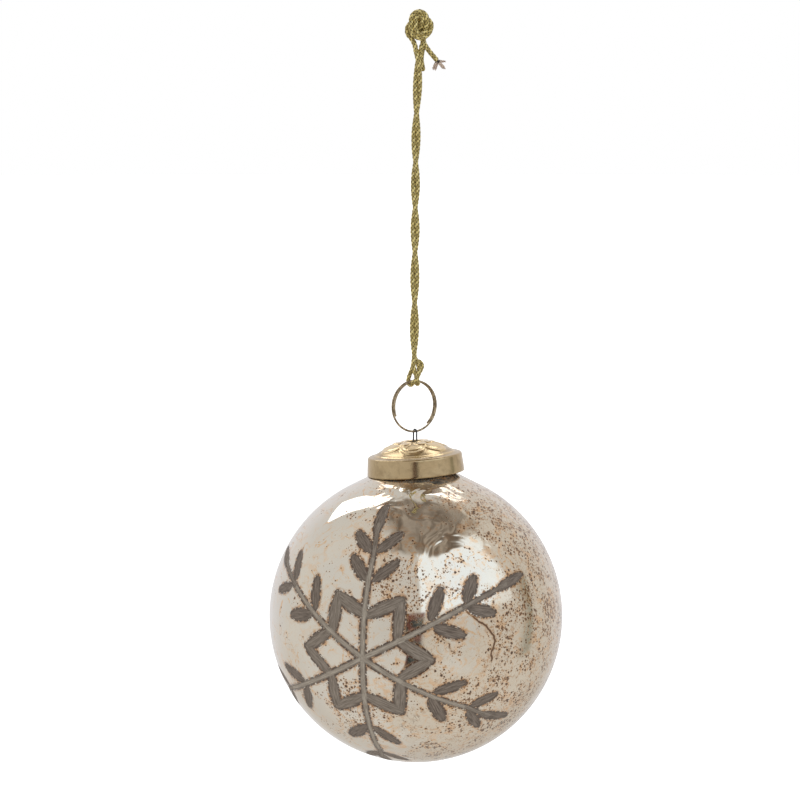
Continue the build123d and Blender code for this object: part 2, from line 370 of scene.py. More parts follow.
def make_tufts():
    """The frayed end: each thread sags a little and has its own shade."""
    draw = random.Random(7)
    root = np.array(LONG_END[-1])
    points, faces, shade = [], [], []
    for reach, threads, spread in TUFTS:
        for _ in range(threads):
            start = root + jitter(draw, ROOT_SPREAD)
            tip = root + np.array(reach) * draw.uniform(0.75, 1.05)
            tip = tip + jitter(draw, spread)
            middle = (start + tip) / 2 + jitter(draw, THREAD_SAG)
            line, _ = evenly(spline_points([start, middle, tip], 6), THREAD_STEP)
            radius = np.full((len(line), THREAD_SIDES), THREAD / 2)
            more, new_faces = tube(line, radius, len(points))
            points += list(more)
            faces += new_faces
            shade += [draw.random()] * len(more)
    piece = new_piece("frayed_end", points, faces)
    from_root = np.linalg.norm(np.array(points) - root, axis=1)
    keep_values(piece, shade=shade, from_root=from_root)
    return piece


frayed_end = make_tufts()
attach(frayed_end, "cord")

# ---- engraved snow crystal -------------------------------
# Drawn flat round its centre and wrapped on the ball: distances and directions from the centre
# stay true.  The arms end in a leaf, have two pairs of leaves, and bars between them make a star.

CRYSTAL_AZIMUTH = -21.3
CRYSTAL_ELEVATION = -9.3
# Each arm: direction in degrees, how far its tip bends from that, length, and its two nodes.
ARMS = [
    (26.0, -1, 66.5, 26.0, 40.0),
    (85.5, 4, 56.5, 25.5, 36.0),
    (144.5, 1, 63.0, 23.5, 39.5),
    (207.5, 0, 61.0, 28.5, 44.0),
    (267.0, -3, 59.5, 27.0, 44.5),
    (328.5, -5, 61.0, 26.0, 41.5),
]
STAR_INNER = 14.4
STAR_OUTER = 23.4
STEM_HALF = 1.05
STAR_HALF = 2.15
LEAF_HALF = 2.2
FIRST_LEAF = 12.8
SECOND_LEAF = 11.6
END_LEAF = 13.5
LEAF_ANGLE = 46.0
CUT_DEPTH = 0.2
REACH_OF_FIELD = 3.0             # the stored distance stops this far from a stroke
GRAIN_SHIFT = 37.0               # keeps the grain of one stroke from running on in the next
PALENESS = {"leaf": 0.0, "bar": 0.3, "stem": 1.0, "tip": 0.3}


def polar(distance, degrees):
    """A flat point at a distance and direction from the crystal's centre."""
    return np.array([math.cos(math.radians(degrees)), math.sin(math.radians(degrees))]) * distance


def crystal_strokes():
    """Every stroke as (start, end, half width, kind); the stems come last and cut the others."""
    draw = random.Random(11)
    leaves, stems = [], []
    for number, (way, bend, length, first_node, second_node) in enumerate(ARMS):
        previous = ARMS[number - 1][0]
        between = (way + previous - (360 if number == 0 else 0)) / 2
        end_way = way + bend
        joint = polar(second_node, way + bend / 2)
        stems.append((polar(0, way), joint, STEM_HALF, "stem"))
        stems.append((joint, polar(length - END_LEAF * 0.6, end_way), STEM_HALF, "tip"))
        foot = polar(length - END_LEAF, end_way)
        leaves.append((foot, polar(length, end_way), LEAF_HALF, "leaf"))
        outer = polar(STAR_OUTER + draw.uniform(-1.0, 1.0), between)
        for inner_way in (way, previous):
            inner = polar(STAR_INNER + draw.uniform(-0.6, 0.6), inner_way)
            leaves.append((inner, outer, STAR_HALF * draw.uniform(0.92, 1.08), "bar"))
        for node, size, turn in ((first_node, FIRST_LEAF, 0.3), (second_node, SECOND_LEAF, 0.6)):
            foot = polar(node, way + bend * turn)
            for side in (-1, 1):
                lean = way + bend * turn + side * (LEAF_ANGLE + draw.uniform(-6, 6))
                tip = foot + polar(size * draw.uniform(0.95, 1.05), lean)
                width = LEAF_HALF * draw.uniform(0.86, 1.08)
                leaves.append((foot + polar(STEM_HALF * 0.8, lean), tip, width, "leaf"))
    return leaves + stems


def stroke_width(kind, half, share):
    """Half width of a stroke at a share of its length: leaves bulge, bars swell, stems thin."""
    share = np.clip(share, 0, 1)
    if kind == "leaf":
        return half * np.sqrt(np.clip(1 - ((share - 0.58) / 0.52) ** 2, 0, 1))
    if kind == "bar":
        return half * np.clip(np.sin(math.pi * (0.12 + 0.70 * share)), 0, 1) ** 0.6
    return half * (1.0 - 0.12 * share)


def crystal_field(points):
    """For points on the ball: how far inside a stroke, where on it, how pale and how deep."""
    out = direction(CRYSTAL_AZIMUTH, CRYSTAL_ELEVATION)
    east = UP.cross(out).normalized()
    north = out.cross(east)
    unit = units(points)
    arc = np.arccos(np.clip(unit @ np.array(out), -1, 1)) * BALL_RADIUS
    way = np.arctan2(unit @ np.array(north), unit @ np.array(east))
    flat = np.stack([arc * np.cos(way), arc * np.sin(way)], 1)
    inside = np.full(len(points), -REACH_OF_FIELD)
    along, across, pale, depth = np.zeros((4, len(points)))
    for number, (start, end, half, kind) in enumerate(crystal_strokes()):
        line = end - start
        length = np.linalg.norm(line)
        line = line / length
        to = flat - start
        t = to @ line
        s = to @ np.array([-line[1], line[0]])
        beyond = np.maximum(np.maximum(-t, t - length), 0)
        here = stroke_width(kind, half, t / length) - np.hypot(s, beyond)
        better = here > inside
        if kind in ("stem", "tip"):
            better |= here > 0.1
        inside = np.maximum(inside, here)
        along = np.where(better, t + number * GRAIN_SHIFT, along)
        across = np.where(better, s, across)
        pale = np.where(better, PALENESS[kind], pale)
        hollow = np.clip(here / half, 0, 1)
        deepest = CUT_DEPTH * (0.6 + 0.4 * half / LEAF_HALF)
        depth = np.maximum(depth, hollow * (2 - hollow) * deepest)
    return inside, along, across, pale, depth


# A few cracks in the mirror coat, each a width and its corners as (azimuth, elevation) in
# degrees from the ball's middle, seen from the front.
CRACKS = [
    (0.75, [(20, 9), (24, 5), (28, 3), (31, -1), (32, -4), (30, -7), (31, -11)]),
    (0.40, [(52, 28), (58, 23), (64, 17)]),
    (0.45, [(-25, 38), (-26, 34), (-27, 31), (-24, 29)]),
    (0.45, [(10, -1), (13, -3), (13, -6), (15, -7)]),
]
CRACK_STEP = 0.8
CRACK_WANDER = 0.25


def crack_field(points):
    """Distance of each point from the nearest crack's edge."""
    nearest = np.full(len(points), REACH_OF_FIELD)
    for width, crack in CRACKS:
        corners = [direction(*spot) * BALL_RADIUS for spot in crack]
        corners = evenly(spline_points(corners), CRACK_STEP)[0]
        draw = random.Random(3)
        corners = corners + np.array([jitter(draw, CRACK_WANDER) for _ in corners])
        for a, b in zip(corners[:-1], corners[1:]):
            way = b - a
            share = np.clip((points - a) @ way / (way @ way), 0, 1)
            distance = np.linalg.norm(points - a - share[:, None] * way, axis=1)
            nearest = np.minimum(nearest, distance - width / 2)
    return nearest


# ---- glass ball ------------------------------------------

GLASS_WALL = 1.3
SHOULDER = 23.0
NECK_RADIUS = 13.5
NECK_BLEND = 2.5
LIP_ROUND = 0.5
BALL_COLUMNS = 216
OUTSIDE_ROWS = 104
INSIDE_ROWS = 40
STROKE_REACHES = (1.6, 0.7)      # how near a stroke each round of refining goes
CRACK_REACH = 0.7


def arc_points(centre, radius, start, end, count):
    """Points (radius, height) on an arc of the section, angles in degrees."""
    angles = np.radians(np.linspace(start, end, count))
    return [(centre[0] + radius * math.cos(a), centre[1] + radius * math.sin(a)) for a in angles]


def blend_arc(slope, foot, neck, blend):
    """The fillet between the shoulder's slope and the upright neck, which meet at foot."""
    lean = math.atan(slope)
    centre_height = foot + blend * math.tan((math.pi / 2 - lean) / 2)
    return arc_points((neck + blend, centre_height), blend, 270 - math.degrees(lean), 180, 6)


def ball_half(radius, shoulder, neck, blend, rows):
    """Half the section of the glass's outside or inside, from the bottom pole to the neck."""
    height = math.sqrt(radius**2 - shoulder**2)
    slope = shoulder / height
    foot = height + (shoulder - neck) * slope
    top = math.degrees(math.asin(height / radius))
    return arc_points((0, 0), radius, -90, top, rows) + blend_arc(slope, foot, neck, blend)


def ball_section():
    """The section of the whole glass: up the outside, over the lip and down the inside."""
    outside = ball_half(BALL_RADIUS, SHOULDER, NECK_RADIUS, NECK_BLEND, OUTSIDE_ROWS)
    bore = NECK_RADIUS - GLASS_WALL
    shoulder, blend = SHOULDER - GLASS_WALL / 2, NECK_BLEND + GLASS_WALL
    inside = ball_half(BALL_RADIUS - GLASS_WALL, shoulder, bore, blend, INSIDE_ROWS)
    rim = NECK_TOP - LIP_ROUND
    lip = arc_points((NECK_RADIUS - LIP_ROUND, rim), LIP_ROUND, 0, 90, 4)
    lip += arc_points((bore + LIP_ROUND, rim), LIP_ROUND, 90, 180, 4)
    return outside + [(NECK_RADIUS, (outside[-1][1] + rim) / 2)] + lip + inside[::-1]


def lathe(section, columns):
    """Points and triangles of a section turned round the axis, its ends on the axis."""
    angles = np.arange(columns) / columns * 2 * math.pi
    rings = section[1:-1]
    points = [(0.0, 0.0, section[0][1])]
    for radius, height in rings:
        points += [(radius * math.cos(a), radius * math.sin(a), height) for a in angles]
    points.append((0.0, 0.0, section[-1][1]))
    faces = []
    for a, b, c, d in grid_faces(len(rings), columns, 1):
        faces += [(a, b, c), (a, c, d)]
    last = len(points) - 1
    for k in range(columns):
        after = (k + 1) % columns
        faces.append((0, 1 + after, 1 + k))
        faces.append((last, last - columns + k, last - columns + after))
    return np.array(points), np.array(faces)


def refine(points, faces, marked):
    """Split each marked triangle in four and its neighbours only as far as that needs."""
    ends = np.sort(faces[:, [0, 1, 1, 2, 2, 0]].reshape(-1, 2), axis=1)
    edges, index = np.unique(ends, axis=0, return_inverse=True)
    index = index.reshape(-1, 3)
    split = np.zeros(len(edges), bool)
    split[index[marked].ravel()] = True
    while (split[index].sum(1) == 2).any():
        split[index[split[index].sum(1) == 2].ravel()] = True
    middle = np.cumsum(split) - 1 + len(points)
    points = np.vstack([points, points[edges[split]].mean(1)])
    count = split[index].sum(1)
    made = [faces[count == 0]]
    a, b, c = faces[count == 3].T
    ab, bc, ca = middle[index[count == 3]].T
    made += [np.stack(t, 1) for t in ((a, ab, ca), (ab, b, bc), (ca, bc, c), (ab, bc, ca))]
    one = count == 1
    which = split[index[one]].argmax(1)
    row = np.arange(len(which))
    corners = faces[one]
    a, b, c = (corners[row, (which + k) % 3] for k in range(3))
    m = middle[index[one][row, which]]
    made += [np.stack((a, m, c), 1), np.stack((m, b, c), 1)]
    return points, np.vstack(made)


def make_ball():
    """The glass: a fine mesh near crystal and cracks, and the crystal cut into its outside."""
    points, faces = lathe(ball_section(), BALL_COLUMNS)
    outer = np.arange(len(points)) < 1 + (OUTSIDE_ROWS - 1) * BALL_COLUMNS
    for reach in STROKE_REACHES:
        inside = crystal_field(points)[0]
        near = (inside > -reach) | (crack_field(points) < CRACK_REACH)
        marked = (near & outer)[faces].any(1) & outer[faces].all(1)
        before = len(points)
        points, faces = refine(points, faces, marked)
        points[before:] = units(points[before:]) * BALL_RADIUS
        outer = np.concatenate([outer, np.ones(len(points) - before, bool)])
    inside, along, across, pale, depth = crystal_field(points)
    inside[~outer] = -REACH_OF_FIELD
    crack = np.where(outer, crack_field(points), REACH_OF_FIELD)
    points = points - units(points) * np.where(outer, depth, 0)[:, None]
    piece = new_piece("mercury_glass_ball", points + np.array(BALL), faces)
    keep_values(piece, cut=inside, along=along, across=across, pale=pale, crack=crack)
    return piece


ball = make_ball()
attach(ball, "ball")
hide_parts("glass_ball")

# ---- stamped cap -----------------------------------------

CAP_RIM = 16.85
CAP_SHOULDER = 16.35
CAP_SKIRT = 5.6
CAP_CORNER = 0.8
CAP_LEDGE_RISE = 0.4
CAP_DOME = 13.8
CAP_DOME_RISE = 4.2
CAP_SHEET = 0.4
CAP_HOLE = 2.5
CAP_COLUMNS = 240
WALL_ROWS = 10
DOME_ROWS = 76
INNER_DOME_ROWS = 30
INNER_RELIEF = 0.6               # share of the stamping that shows inside the cap
PETALS = 6
PETAL_RELIEF = 0.42
FLOWER_TURN = 12.0
ARCH_FOOT, ARCH_RISE = 8.6, 3.6  # the outer arches run between these radii
TIP_FOOT, TIP_RISE = 4.3, 3.0    # and the tips of the inner petals between these


def smoothstep(low, high, value):
    """0 at low and 1 at high, smooth between; low may be the larger one."""
    share = np.clip((value - low) / (high - low), 0, 1)
    return share * share * (3 - 2 * share)


def petal_relief(radius, angle):
    """Stamped flower on the dome: a collar, an inner row of petals and an outer row of arches."""
    outer = np.abs(np.cos(PETALS / 2 * angle))
    arch = ARCH_FOOT + ARCH_RISE * outer**0.7
    outer_row = smoothstep(arch + 0.35, arch - 0.35, radius) * smoothstep(5.0, 7.0, radius)
    vein = 0.35 * np.exp(-((radius - arch + 1.5) / 0.45) ** 2)
    inner = np.abs(np.sin(PETALS / 2 * angle))
    tip = TIP_FOOT + TIP_RISE * inner**0.8
    inner_row = smoothstep(tip + 0.3, tip - 0.3, radius) * smoothstep(3.3, 4.2, radius)
    fold = 0.5 * np.exp(-((inner - 0.05) / 0.12) ** 2) * inner_row
    collar = np.exp(-((radius - CAP_HOLE - 0.55) / 0.4) ** 2)
    rope = 0.28 * np.exp(-((radius - CAP_DOME + 0.2) / 0.4) ** 2)
    return PETAL_RELIEF * (0.8 * outer_row - vein + 0.75 * inner_row - fold + 0.7 * collar + rope)


def cap_section(inset, dome_rows):
    """Half the cap's section from rim to hole, moved inwards by inset."""
    rim, shoulder = CAP_RIM - inset, CAP_SHOULDER - inset
    ledge = CAP_SKIRT + CAP_CORNER - inset
    dome = CAP_DOME - inset / 2
    foot = ledge + CAP_LEDGE_RISE
    up_wall = np.linspace(0, 1, WALL_ROWS)
    wall = [(rim + (shoulder - rim) * k, (ledge - CAP_CORNER) * k) for k in up_wall]
    corner = arc_points((shoulder - CAP_CORNER, ledge - CAP_CORNER), CAP_CORNER, 8, 82, 7)
    shelf = [(shoulder - CAP_CORNER - 0.4, ledge + 0.08), (dome + 0.5, foot - 0.12)]
    sphere = (dome**2 + CAP_DOME_RISE**2) / (2 * CAP_DOME_RISE)
    outline = wall + corner + shelf
    for radius in np.linspace(dome, CAP_HOLE, dome_rows):
        outline.append((radius, foot + CAP_DOME_RISE - sphere + math.sqrt(sphere**2 - radius**2)))
    return outline


def make_cap():
    """The stamped sheet, turned round the cap's own axis."""
    outside = cap_section(0, DOME_ROWS)
    inside = cap_section(CAP_SHEET, INNER_DOME_ROWS)
    section = np.array([(CAP_RIM - CAP_SHEET / 2, -0.08)] + outside + inside[::-1])
    lifted = np.concatenate([[0], np.ones(len(outside)), np.full(len(inside), INNER_RELIEF)])
    angles = np.arange(CAP_COLUMNS) / CAP_COLUMNS * 2 * math.pi
    radius, angle = section[:, 0][:, None], angles[None, :]
    relief = petal_relief(radius, angle - math.radians(FLOWER_TURN))
    relief = relief * smoothstep(CAP_DOME + 1.2, CAP_DOME, radius) * lifted[:, None]
    height = section[:, 1][:, None] + relief
    side = UP.cross(CAP_UP).cross(CAP_UP).normalized()
    front = CAP_UP.cross(side)
    local = np.stack([radius * np.cos(angle), radius * np.sin(angle), height], 2)
    points = local @ np.array([side, front, CAP_UP]) + np.array(CAP_ORIGIN)
    faces = grid_faces(len(section), CAP_COLUMNS)
    last = (len(section) - 1) * CAP_COLUMNS
    for k in range(CAP_COLUMNS):
        after = (k + 1) % CAP_COLUMNS
        faces.append((last + k, last + after, after, k))
    piece = new_piece("stamped_cap", points.reshape(-1, 3), faces)
    keep_values(piece, relief=(relief / PETAL_RELIEF).ravel())
    return piece


cap = make_cap()
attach(cap, "cap")
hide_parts("cap")

# ---- materials -------------------------------------------


class Shader:
    """A material under construction: each call adds nodes and returns their result."""

    def __init__(self, name):
        self.material = bpy.data.materials.new(name)
        self.material.use_nodes = True
        self.tree = self.material.node_tree
        self.surface = self.tree.nodes["Principled BSDF"]
        coordinates = self.add("ShaderNodeTexCoord", {})
        scaled = {"Vector": coordinates.outputs["Object"], "Scale": 1 / MM}
        self.place = self.add("ShaderNodeVectorMath", scaled, "SCALE").outputs[0]

    def feed(self, node, sockets):
        """Feed sockets, given by name or number, from results or with constants."""
        for key, value in sockets.items():
            if isinstance(value, bpy.types.NodeSocket):
                self.tree.links.new(value, node.inputs[key])
            else:
                node.inputs[key].default_value = value

    def add(self, kind, sockets, operation=None):
        node = self.tree.nodes.new(kind)
        if operation:
            node.operation = operation
        self.feed(node, sockets)
        return node

    def set(self, **values):
        """Feed the surface's sockets, their names written with underscores."""
        self.feed(self.surface, {name.replace("_", " "): value for name, value in values.items()})

    def value(self, name):
        """A number stored on the mesh by keep_values."""
        node = self.add("ShaderNodeAttribute", {})
        node.attribute_name = name
        return node.outputs["Fac"]

    def math(self, operation, a, b=0.0, clamp=False):
        node = self.add("ShaderNodeMath", {0: a, 1: b}, operation)
        node.use_clamp = clamp
        return node.outputs[0]

    def times(self, a, b):
        return self.math("MULTIPLY", a, b)

    def plus(self, a, b):
        return self.math("ADD", a, b)

    def minus(self, a, b):
        return self.math("SUBTRACT", a, b)

    def larger(self, a, b):
        return self.math("MAXIMUM", a, b)

    def rest(self, share):
        """What a share leaves of 1, never below 0."""
        return self.math("SUBTRACT", 1.0, share, clamp=True)

    def line(self, noise):
        """How far a noise is from its middle value, which lies along wandering lines."""
        return self.math("ABSOLUTE", self.minus(noise, 0.5))

    def step(self, low, high, value):
        """0 below low, 1 above high, smooth between; low may be the larger one."""
        start, end = (0.0, 1.0) if low < high else (1.0, 0.0)
        given = {"Value": value, "From Min": min(low, high), "From Max": max(low, high)}
        node = self.add("ShaderNodeMapRange", {**given, "To Min": start, "To Max": end})
        node.interpolation_type = "SMOOTHSTEP"
        return node.outputs["Result"]

    def stretch(self, place, x, y, z):
        return self.add("ShaderNodeVectorMath", {0: place, 1: (x, y, z)}, "MULTIPLY").outputs[0]

    def vector(self, x, y, z):
        return self.add("ShaderNodeCombineXYZ", {0: x, 1: y, 2: z}).outputs[0]

    def noise(self, scale, detail=3.0, place=None, distortion=0.0):
        """Noise whose features are about 1 / scale millimetres."""
        sockets = {"Vector": place or self.place, "Scale": scale, "Detail": detail}
        return self.add("ShaderNodeTexNoise", {**sockets, "Distortion": distortion}).outputs["Fac"]

    def near(self, spot, reach):
        """1 at a spot on the ball, given as azimuth and elevation, falling to 0 at reach."""
        centre = BALL + direction(*spot) * BALL_RADIUS
        node = self.add("ShaderNodeVectorMath", {0: self.place, 1: centre}, "DISTANCE")
        return self.step(reach, reach * 0.4, node.outputs["Value"])

    def nearest(self, places):
        """The largest of near for several places."""
        share = self.near(*places[0])
        for spot, reach in places[1:]:
            share = self.larger(share, self.near(spot, reach))
        return share

    def warp(self, scale, amount):
        """The place pushed about at random by up to half of amount millimetres."""
        noise = self.add("ShaderNodeTexNoise", {"Vector": self.place, "Scale": scale})
        push = {0: noise.outputs["Color"], 1: (amount, amount, amount), 2: self.place}
        return self.add("ShaderNodeVectorMath", push, "MULTIPLY_ADD").outputs[0]

    def dots(self, scale, place):
        """Distance from the nearest of scattered points, and that point's own random number."""
        node = self.add("ShaderNodeTexVoronoi", {"Vector": place, "Scale": scale})
        split = self.add("ShaderNodeSeparateColor", {0: node.outputs["Color"]})
        return node.outputs["Distance"], split.outputs[0]

    def mix(self, share, a, b):
        """Colour a where share is 0 and colour b where it is 1."""
        node = self.tree.nodes.new("ShaderNodeMix")
        node.data_type = "RGBA"
        self.feed(node, {"Factor": share, 6: colour(a), 7: colour(b)})
        return node.outputs[2]

    def stain(self, base, share, strength, shade):
        """A colour laid over the base where share is 1, at a strength."""
        return self.mix(self.times(share, strength), base, shade)

    def blend(self, share, a, b):
        """Number a where share is 0 and number b where it is 1."""
        return self.add("ShaderNodeMix", {"Factor": share, 2: a, 3: b}).outputs[0]

    def bump(self, height, distance, normal=None):
        """A bump from a height between 0 and 1 that stands for distance millimetres."""
        sockets = {"Height": height, "Distance": distance * MM}
        if normal is not None:
            sockets["Normal"] = normal
        return self.add("ShaderNodeBump", sockets).outputs["Normal"]


def colour(value):
    """Three numbers as a colour with full alpha; a socket stays as it is."""
    return value if isinstance(value, bpy.types.NodeSocket) else (*value, 1.0)


# Places on the coat, each (azimuth, elevation) as for direction, and how far it reaches.
BRIGHT_PLACES = [((22.0, 27.0), 28.0), ((21.0, -6.0), 15.0)]
WORST_PLACES = [((42.0, -5.0), 26.0), ((56.0, 50.0), 24.0)]
STAINED_PLACES = [((-3.0, 18.0), 15.0), ((-31.0, -33.0), 17.0), ((17.0, 21.0), 11.0)]
# Each kind of dot: how many to a millimetre, its largest size, and the level at which it starts.
DOT_KINDS = [(0.62, 0.34, 1.18), (1.0, 0.38, 1.10), (1.7, 0.36, 1.22)]


def coat_age(s, wander, x):
    """How much the coat has aged: in clouds, few on the left and nearly everywhere on the right."""
    aged = s.plus(s.times(s.step(-40.0, 44.0, x), 0.8), s.times(wander, 0.9))
    aged = s.plus(aged, s.times(s.noise(0.17, 4.0, distortion=0.6), 0.6))
    for spot, reach in BRIGHT_PLACES:
        aged = s.minus(aged, s.times(s.near(spot, reach), 0.45))
    return s.plus(aged, s.times(s.nearest(WORST_PLACES), 0.32))


def coat_colour(s, wander, aged, veil, stained):
    """Silver going cream, with peach haze and tan marbling, and the places where it is worn."""
    silver = s.mix(s.step(0.35, 0.65, wander), (0.78, 0.735, 0.655), (0.82, 0.755, 0.65))
    cream = s.mix(s.noise(0.3, 5.0, distortion=0.4), (0.75, 0.62, 0.47), (0.89, 0.78, 0.62))
    base = s.stain(silver, veil, 0.7, cream)
    haze = s.larger(s.step(0.40, 1.15, aged), s.times(stained, 0.9))
    haze = s.times(s.step(0.50, 0.68, s.noise(0.32, 6.0, distortion=0.8)), haze)
    base = s.stain(base, haze, 0.75, (0.86, 0.57, 0.34))
    marbling = s.step(0.54, 0.66, s.noise(0.7, 6.0, distortion=0.8))
    worn = s.times(marbling, s.step(0.95, 1.5, aged))
    return s.stain(base, worn, 0.72, (0.52, 0.30, 0.15)), worn


def coat_wisps(s, base):
    """Thin, broken orange wisps, and where they run unbroken."""
    trail = s.line(s.noise(0.085, 3.0, distortion=1.2))
    wisp = s.times(s.step(0.030, 0.004, trail), s.step(0.42, 0.60, s.noise(0.13, 2.0)))
    broken = s.step(0.40, 0.56, s.noise(0.75, 4.0))
    return s.stain(base, s.times(wisp, broken), 0.75, (0.80, 0.47, 0.21)), wisp


def coat_dots(s, base, opaque, cluster):
    """Dark-brown dots with tan rims, more and larger where cluster is high."""
    uneven = s.warp(0.9, 0.55)
    for scale, largest, start in DOT_KINDS:
        distance, number = s.dots(scale, uneven)
        often = s.plus(number, cluster)
        size = s.blend(s.step(start, start + 0.6, often), largest * 0.3, largest)
        beyond = s.minus(distance, size)
        there = s.step(start, start + 0.05, often)
        rim = s.times(s.step(0.18, -0.02, beyond), there)
        base = s.stain(base, rim, 0.66, (0.66, 0.37, 0.17))
        dot = s.times(s.step(0.03, -0.05, beyond), there)
        brown = s.mix(number, (0.24, 0.10, 0.034), (0.055, 0.022, 0.009))
        base = s.stain(base, dot, 0.97, brown)
        opaque = s.larger(opaque, s.larger(dot, s.times(rim, 0.5)))
    return base, opaque


def coat_cracks(s, base, aged):
    """Short wandering lines where the coat has flaked, and the cracks with a tan edge."""
    ridge = s.line(s.noise(0.22, 3.0, distortion=1.6))
    flake = s.times(s.step(0.009, 0.003, ridge), s.step(0.60, 0.64, s.noise(0.11, 1.0)))
    flake = s.times(flake, s.step(0.85, 1.0, aged))
    base = s.stain(base, flake, 0.85, (0.17, 0.08, 0.035))
    gap = s.plus(s.value("crack"), s.times(s.noise(1.4, 3.0), 0.3))
    base = s.stain(base, s.step(0.75, 0.15, gap), 0.5, (0.66, 0.42, 0.22))
    return s.stain(base, s.step(0.22, 0.08, gap), 0.92, (0.14, 0.06, 0.025)), flake


def coat_edge(s, base, cut):
    """The coat's edge along the engraving: dark crumbs in a thin rust halo."""
    rust = s.times(s.step(-1.5, -0.3, cut), s.step(0.40, 0.56, s.noise(0.55, 4.0)))
    base = s.stain(base, rust, 0.78, (0.56, 0.28, 0.10))
    edge = s.times(s.step(-0.64, -0.38, cut), s.step(0.38, 0.52, s.noise(1.2, 2.0)))
    base = s.stain(base, edge, 0.95, (0.07, 0.032, 0.017))
    return base, s.larger(edge, s.times(rust, 0.6))


def ground_glass(s, cut):
    """The matt colour inside the engraving, its grain along each stroke, and painted shade that
    darkens each stroke towards its edges.
    """
    along, across = s.times(s.value("along"), 0.25), s.times(s.value("across"), 2.4)
    grain = s.noise(1.0, 4.0, place=s.vector(along, across, 0.0))
    streak = s.step(0.3, 0.7, grain)
    leaf = s.mix(streak, (0.118, 0.088, 0.066), (0.29, 0.232, 0.188))
    stem = s.mix(streak, (0.30, 0.25, 0.20), (0.52, 0.46, 0.38))
    ground = s.mix(s.value("pale"), leaf, stem)
    # Painted shade: each stroke darker towards its edges, near the groove's walls.
    return s.stain(ground, s.step(0.65, 0.05, cut), 0.62, (0.085, 0.055, 0.038)), grain


def wavy_wall(s, x, height):
    """The blown wall's waves, strongest on the upper right."""
    wave = s.bump(s.noise(0.055, 1.0), 0.5)
    ripples = s.times(s.step(14.0, 34.0, height), s.step(-24.0, 0.0, x))
    ripples = s.times(ripples, s.noise(0.085, 1.5, distortion=1.0))
    return s.bump(ripples, 0.8, normal=wave)


def mercury_glass():
    """Glass over an aged mirror coat, with a crystal ground into it."""
    s = Shader("mercury_glass")
    x, _, z = s.add("ShaderNodeSeparateXYZ", {0: s.place}).outputs
    wander = s.noise(0.05, 2.0, distortion=0.5)
    aged = coat_age(s, wander, x)
    veil = s.step(0.95, 1.25, aged)
    stained = s.nearest(STAINED_PLACES)
    base, worn = coat_colour(s, wander, aged, veil, stained)
    base, wisp = coat_wisps(s, base)
    cluster = s.times(s.minus(s.noise(0.16, 4.0), 0.5), 3.0)
    for cause, weight in ((s.step(0.45, 1.6, aged), 0.74), (wisp, 0.35), (stained, 0.55)):
        cluster = s.plus(cluster, s.times(cause, weight))
    opaque = s.larger(s.times(veil, 0.30), s.times(worn, 0.6))
    base, opaque = coat_dots(s, base, opaque, cluster)
    base, flake = coat_cracks(s, base, aged)
    ragged = s.times(s.minus(s.noise(1.6, 4.0), 0.5), 0.42)
    cut = s.plus(s.value("cut"), ragged)
    base, edge = coat_edge(s, base, cut)
    inside = s.step(-0.02, 0.12, cut)
    ground, grain = ground_glass(s, cut)
    for share in (flake, edge, inside):
        opaque = s.larger(opaque, share)
    rough = s.blend(veil, s.blend(s.noise(0.3, 4.0), 0.02, 0.07), 0.12)
    rough = s.blend(inside, s.blend(worn, rough, 0.30), 0.55)
    s.set(
        Base_Color=s.mix(inside, base, ground),
        Metallic=s.times(s.rest(opaque), 0.98),
        Roughness=rough,
        Coat_Weight=s.times(s.rest(inside), 0.6),
        Coat_Roughness=0.03,
        Coat_IOR=1.45,
        Normal=s.bump(s.times(inside, grain), 0.14, normal=wavy_wall(s, x, s.minus(z, BALL.z))),
    )
    return s.material


def cap_metal():
    """Brass-coloured sheet, tarnished in patches, with painted shade where its stamping sinks."""
    s = Shader("cap_metal")
    tarnish = s.step(0.45, 0.75, s.noise(0.25, 6.0, distortion=0.5))
    # Painted shade: darker where the stamped relief is low, in its hollows.
    low = s.step(0.42, -0.05, s.value("relief"))
    gold = s.mix(s.noise(0.12, 3.0), (0.82, 0.61, 0.34), (0.95, 0.77, 0.49))
    base = s.stain(gold, tarnish, 0.45, (0.30, 0.21, 0.12))
    base = s.stain(base, low, 0.45, (0.17, 0.115, 0.06))
    brushed = s.noise(1.0, 3.0, place=s.stretch(s.place, 0.5, 0.5, 9.0))
    rough = s.blend(s.noise(0.5, 4.0), 0.12, 0.24)
    normal = s.bump(s.noise(0.4, 3.0), 0.05, normal=s.bump(brushed, 0.012))
    s.set(Base_Color=base, Metallic=1.0, Roughness=rough, Normal=normal)
    return s.material


def cord_gold():
    """Gold yarns with duller ones among them, painted glints as pale specks, and painted shade in
    random patches and in the gaps of the braid.
    """
    s = Shader("cord_gold")
    fibre = s.noise(5.0, 3.0)
    # Painted glints: pale specks laid into the gold colour; the same specks are also smoother.
    glint_spots = s.step(0.60, 0.70, s.noise(2.0, 2.0))
    gold = s.mix(s.step(0.3, 0.7, fibre), (0.78, 0.60, 0.17), (1.0, 0.89, 0.44))
    gold = s.stain(gold, glint_spots, 0.8, (1.0, 0.96, 0.76))
    dull = s.times(s.value("dull"), 0.62)
    # Painted shade in random patches, in the same colour as the duller yarns.
    shadow = s.times(s.step(0.54, 0.62, s.noise(1.0, 2.0)), 0.6)
    gold = s.mix(s.larger(dull, shadow), gold, (0.25, 0.17, 0.03))
    # Painted shade: nearly black in the gaps of the braid, where its height is low.
    base = s.mix(s.step(0.66, 0.20, s.value("weave")), gold, (0.03, 0.02, 0.005))
    rough = s.blend(glint_spots, 0.50, 0.30)
    s.set(Base_Color=base, Metallic=0.5, Roughness=rough, Normal=s.bump(fibre, 0.06))
    return s.material


